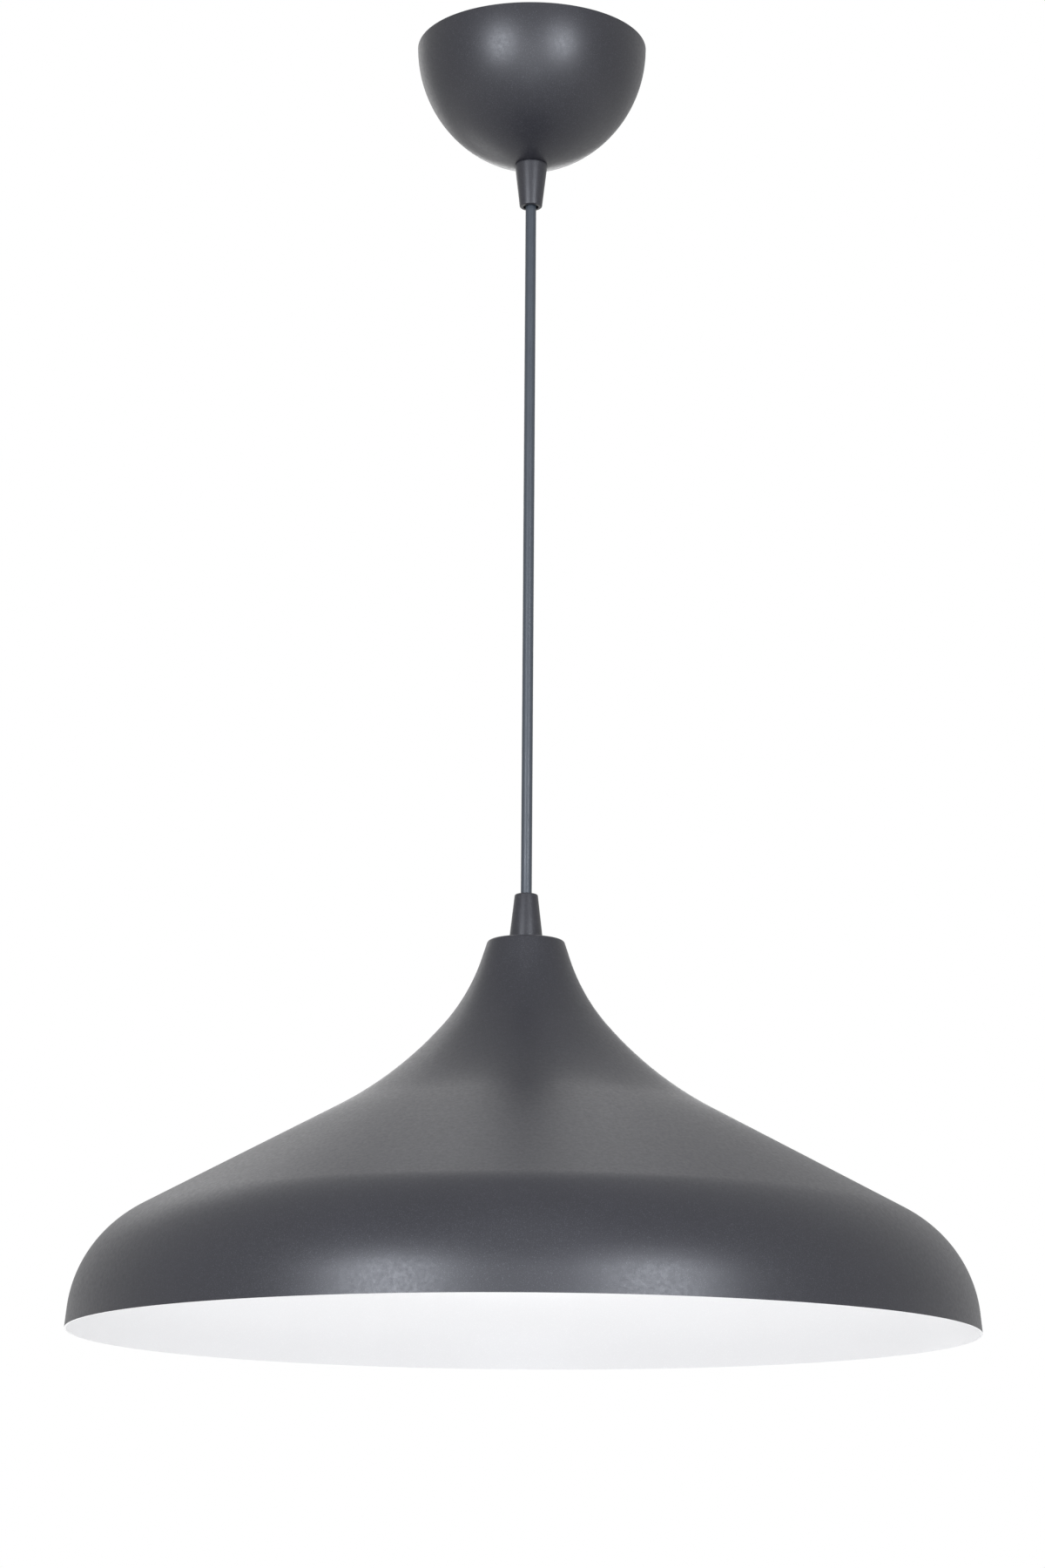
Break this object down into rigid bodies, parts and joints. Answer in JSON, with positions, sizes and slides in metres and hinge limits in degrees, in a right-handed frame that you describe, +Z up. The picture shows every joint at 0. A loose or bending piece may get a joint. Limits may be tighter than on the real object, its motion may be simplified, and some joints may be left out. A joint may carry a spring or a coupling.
{
  "type": "pendant ceiling light",
  "caption": "Hanging lamp with a cup-shaped ceiling canopy, a round cord held by two conical grips and a wide spun bell shade with a screw lampholder.",
  "frame": {"origin": "centre of the ceiling bracket's two slots, on the ceiling plane", "axes": "+Z up out of the ceiling face; the lamp hangs along -Z; +X along the bracket"},
  "size_m": [0.45, 0.4498, 0.6805],
  "materials": {
    "zinc_steel": "zinc-plated pressed steel",
    "nickel_brass": "plain brass, turned or pressed",
    "powder_coat": "anthracite powder coat, matte with a fine grain",
    "shade_coat": "anthracite powder coat outside, white inside",
    "cord_pvc": "slate grey round PVC cord",
    "nylon": "natural nylon",
    "holder_black": "moulded black thermoplastic",
    "porcelain": "glazed porcelain",
    "core_brown": "brown PVC core",
    "core_blue": "blue PVC core",
    "core_earth": "green and yellow PVC core"
  },
  "bodies": {
    "ceiling": {"ceiling_bracket": "zinc_steel", "threaded_tube": "zinc_steel", "tube_locknuts": "zinc_steel", "tube_toothed_washers": "zinc_steel", "canopy": "powder_coat", "upper_grip": "powder_coat", "upper_collet": "nylon", "terminal_block": "nylon", "terminal_barrels": "nickel_brass", "terminal_screws": "zinc_steel", "terminal_fixing_screw": "zinc_steel", "earth_screw": "zinc_steel", "upper_earth_lug": "zinc_steel", "cord_upper_end": "cord_pvc", "upper_core_brown": "core_brown", "upper_core_blue": "core_blue", "upper_core_earth": "core_earth"},
    "upper_bend": {"cord_bend_upper": "cord_pvc"},
    "hanging_cord": {"cord": "cord_pvc"},
    "lower_bend": {"cord_bend_lower": "cord_pvc"},
    "shade_body": {"lower_grip": "powder_coat", "lower_collet": "nylon", "lower_nipple": "zinc_steel", "shade": "shade_coat", "neck_washer": "zinc_steel", "neck_locknut": "zinc_steel", "cord_lower_end": "cord_pvc", "lower_core_brown": "core_brown", "lower_core_blue": "core_blue", "lower_core_earth": "core_earth", "lower_earth_tag": "zinc_steel", "holder_cap": "holder_black", "holder_insert": "nickel_brass", "holder_lock_screw": "zinc_steel", "holder_base": "porcelain", "holder_terminals": "nickel_brass", "holder_terminal_screws": "zinc_steel", "live_strap": "nickel_brass", "side_contact": "nickel_brass", "screw_shell": "nickel_brass", "holder_skirt": "holder_black"},
    "contact": {"centre_contact": "nickel_brass"}
  },
  "joints": [
    {"name": "swing_x", "type": "hinge", "parent": "ceiling", "child": "upper_bend", "pos_m": [0, 0, -0.089], "axis": [1, 0, 0], "range_deg": [-30, 30]},
    {"name": "swing_y", "type": "hinge", "parent": "upper_bend", "child": "hanging_cord", "pos_m": [0, 0, -0.089], "axis": [0, 1, 0], "range_deg": [-30, 30]},
    {"name": "tilt_x", "type": "hinge", "parent": "hanging_cord", "child": "lower_bend", "pos_m": [0, 0, -0.459], "axis": [1, 0, 0], "range_deg": [-15, 15]},
    {"name": "tilt_y", "type": "hinge", "parent": "lower_bend", "child": "shade_body", "pos_m": [0, 0, -0.459], "axis": [0, 1, 0], "range_deg": [-15, 15]},
    {"name": "contact_press", "type": "slide", "parent": "shade_body", "child": "contact", "axis": [0, 0, 1], "range_m": [0, 0.0015], "stiffness_N_per_m": 400, "springref_m": -0.001}
  ]
}
